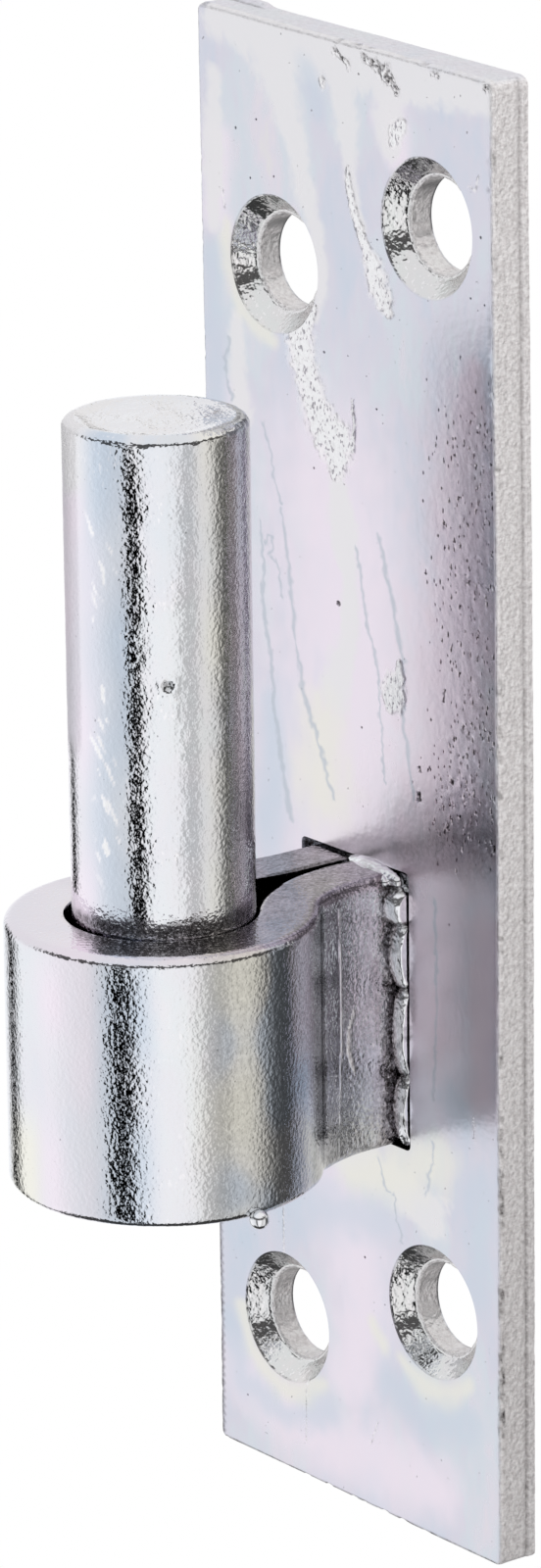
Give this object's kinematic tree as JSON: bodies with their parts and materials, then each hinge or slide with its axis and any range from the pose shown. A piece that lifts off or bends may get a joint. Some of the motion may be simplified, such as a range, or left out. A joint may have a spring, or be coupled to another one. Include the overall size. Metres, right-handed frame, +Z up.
{
  "type": "plate-mounted hinge pin",
  "caption": "Upright round hinge pin welded into a rolled strap eye on a flat countersunk screw plate, for a strap hinge to drop over and turn on.",
  "frame": {"origin": "middle of the plate's back face, which lies against the post", "axes": "+Z up along the pin and the long side of the plate, -Y from the plate towards the pin, +X across the plate"},
  "size_m": [0.03, 0.0291, 0.1],
  "materials": {
    "plate_zinc": "steel, bright zinc plated with a faint blue and pink passivation",
    "strap_zinc": "rolled steel strip, bright zinc plated, slightly grainy",
    "pin_zinc": "drawn steel bar, bright zinc plated",
    "weld_zinc": "rippled weld metal, zinc plated"
  },
  "bodies": {
    "root": {"mounting_plate": "plate_zinc", "eye_strap": "strap_zinc", "hinge_pin": "pin_zinc", "slot_weld": "weld_zinc", "pin_weld": "weld_zinc", "weld_spatter": "weld_zinc"}
  },
  "joints": []
}
